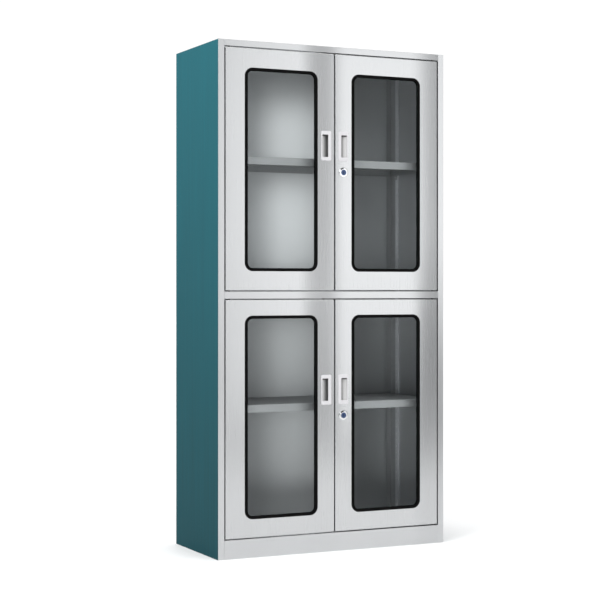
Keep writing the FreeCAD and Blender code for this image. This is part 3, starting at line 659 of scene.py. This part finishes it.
def pull_rings():
    """Loops of a pull with their depths, from a line along the cup's back over the plate to the lip.

    The plate's edge and the mouth's edge are quarter rounds.
    """
    rise, run = quarter(6)
    back_line = np.array([CUP[0], CUP[1], HAIR, 0.0])
    rings = [(back_line, CUP_DEEP), (CUP, CUP_DEEP), (CUP, 0.0), (PLATE, 0.0)]
    for climb, away in zip(rise, run):
        rings.append((PLATE - GROW * PLATE_ROUND * away, PLATE_ROUND * (1 - climb) - PULL_PROUD))
    for climb, away in zip(rise, run):
        rings.append((MOUTH + GROW * MOUTH_ROUND * (1 - climb), MOUTH_ROUND * away - PULL_PROUD))
    rings += [(MOUTH, LIP_START), (GRIP, LIP_END)]
    loops, depths = zip(*rings)
    return np.array(loops), np.array(depths)


def recess_rings():
    """Loops down the recess's wall and round to a line along its floor, with their lifts off the floor."""
    insets = np.array([0.0, 0.6 * MM, 1.5 * MM, FLOOR_ROUND])
    lifts = np.array([FLOOR_ROUND, 0.6 * MM, 0.1 * MM, 0.0, 0.0])
    floor_line = np.array([GRIP[0] + FLOOR_ROUND, GRIP[1] - FLOOR_ROUND, HAIR, 0.0])
    return np.vstack([GRIP - GROW * insets[:, None], floor_line]), lifts


def door_pull(level, side):
    """Rounded rectangles stacked from the cup's back over the plate and down into the recess.

    The recess's loops lie on its curved floor, less their lift, and never in front of the lip.
    """
    node = f"{level}_{side}_door_pull"
    middle = middle_of(node).z
    loops, depths = pull_rings()
    recess_loops, lifts = recess_rings()
    edges = np.vstack([loops, recess_loops])
    shape = loop_shape(arc_steps=5, edge_steps=16)
    out, upward = rounded_loops(
        shape, edges[:, 0], edges[:, 1], middle - edges[:, 2], middle + edges[:, 2], edges[:, 3]
    )
    outside = np.repeat(depths[:, None], out.shape[1], axis=1)
    floor = np.maximum(pull_floor(out[len(loops):]) - lifts[:, None], LIP_END)
    grid = np.stack([SIDES[side] * out, FRONT + np.vstack([outside, floor]), upward], axis=-1)
    surface(f"{node}_moulding", grid, False, f"{level}_{side}_door", node, "pull_plastic")


# Lock rings

RING_PROUD = 4.5 * MM
RING_DOME = 3.2 * MM
FACE_BORE = 10.05 * MM
FACE_BORE_DEEP = 3 * MM
PLUG_BORE = 7.05 * MM
BARREL = 11 * MM
BARREL_END = 26 * MM


def lock_ring(level):
    """A section turned about the lock's axis, as radii and depths.

    It has a domed ring, a bright lip round the plug's face, the seat of that face, the plug's bore and
    the barrel.
    """
    node = f"{level}_lock_body"
    low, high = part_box(node)
    middle = middle_of(node)
    outer = (high.x - low.x) / 2
    rise, run = quarter(8)
    lip_width = np.array([0.9, 0.3, 0.0]) * MM
    lip_depth = np.array([0.0, 0.1, 0.5]) * MM
    seat = FACE_BORE_DEEP - RING_PROUD
    radius = np.concatenate([
        [outer],
        outer - RING_DOME * run,
        FACE_BORE + lip_width,
        [FACE_BORE, PLUG_BORE, PLUG_BORE, BARREL, BARREL],
    ])
    depth = np.concatenate([
        [0.0],
        RING_DOME - RING_DOME * rise - RING_PROUD,
        lip_depth - RING_PROUD,
        [seat, seat, BARREL_END, BARREL_END, 0.0],
    ])
    turn = np.linspace(0, 2 * math.pi, 64, endpoint=False)
    grid = np.stack([
        middle.x + radius[:, None] * np.cos(turn),
        np.broadcast_to(FRONT + depth[:, None], (len(depth), len(turn))),
        middle.z + radius[:, None] * np.sin(turn),
    ], axis=-1)
    surface(f"{node}_ring", grid, True, f"{level}_right_door", node, "lock_chrome")


for level in LEVELS:
    lock_ring(level)
    for side in SIDES:
        window_seal(level, side)
        door_pull(level, side)


# Studio

def studio_floor():
    """A pale flat sheet, a grid of two by two points, with painted shade that makes it greyer far out to
    the front and right.
    """
    reach = 60.0
    ends = np.array([-reach, reach])
    grid = np.stack([*np.meshgrid(ends, ends), np.zeros((2, 2))], axis=-1)
    mesh = bpy.data.meshes.new("studio_floor")
    mesh.from_pydata(grid.reshape(-1, 3).tolist(), [], [(0, 1, 3, 2)])
    finish = Finish("studio_floor")
    cloud = finish.noise((0.4, 0.4, 0.4))
    near = finish.blend(cloud, grey(0.90), grey(0.93))
    # Painted shade: the floor turns grey far out to the front and right.
    far_right_painted_shade = finish.along("X").step(0.5, 3.5) * (1 - finish.along("Y").step(-4.0, -0.8))
    shader = finish.shader(
        Base_Color=finish.blend(far_right_painted_shade, near, grey(0.5)), Roughness=cloud.about(0.6, 0.1)
    )
    mesh.materials.append(finish.done(shader))
    floor = bpy.data.objects.new("studio_floor", mesh)
    bpy.context.scene.collection.objects.link(floor)


def soft_box(name, place, target, width, height, power):
    """A large soft lamp aimed at a point."""
    lamp = bpy.data.lights.new(name, "AREA")
    lamp.shape = "RECTANGLE"
    lamp.size = width
    lamp.size_y = height
    lamp.energy = power
    holder = bpy.data.objects.new(name, lamp)
    bpy.context.scene.collection.objects.link(holder)
    holder.location = place
    aim = Vector(target) - Vector(place)
    holder.rotation_euler = aim.to_track_quat("-Z", "Y").to_euler()


def studio_light():
    """A white room behind the cabinet and a greyer one in front of it, with a soft box at the front, one
    at the left and soft light from above."""
    sky = Finish("studio", bpy.data.worlds)
    way = sky.add("ShaderNodeTexCoord", output="Generated")
    behind = sky.add("ShaderNodeSeparateXYZ", inputs={0: way}, output="Y")
    tone = sky.blend(behind.step(-0.25, 0.3), grey(0.28, COOL), grey(1.05))
    room = sky.add("ShaderNodeBackground", inputs={"Color": tone})
    bpy.context.scene.world = sky.done(room, "ShaderNodeOutputWorld")
    soft_box("front_box", (2.45, -4.6, 1.9), (0, 0, 1.0), width=2.3, height=2.8, power=29)
    soft_box("left_box", (-2.6, -1.9, 3.0), (-0.45, 0, 1.5), width=1.2, height=1.2, power=45)
    overhead = bpy.data.lights.new("overhead", "SUN")
    overhead.energy = 2.2
    overhead.angle = math.radians(70)
    holder = bpy.data.objects.new("overhead", overhead)
    holder.rotation_euler = (math.radians(32), math.radians(-8), 0)
    bpy.context.scene.collection.objects.link(holder)


def photo_camera():
    """The viewpoint worked out from the cabinet's corners in the photograph."""
    lens = bpy.data.cameras.new("photo_camera")
    lens.lens = 94.64
    lens.sensor_width = 36
    lens.shift_y = -0.0208
    lens.clip_end = 100
    camera = bpy.data.objects.new("photo_camera", lens)
    camera.location = (-2.5513, -5.2213, 0.9410)
    camera.rotation_euler = (math.radians(90), 0, math.radians(-25.675))
    bpy.context.scene.collection.objects.link(camera)
    bpy.context.scene.camera = camera


bpy.context.scene.view_settings.view_transform = "Standard"
studio_floor()
studio_light()
photo_camera()
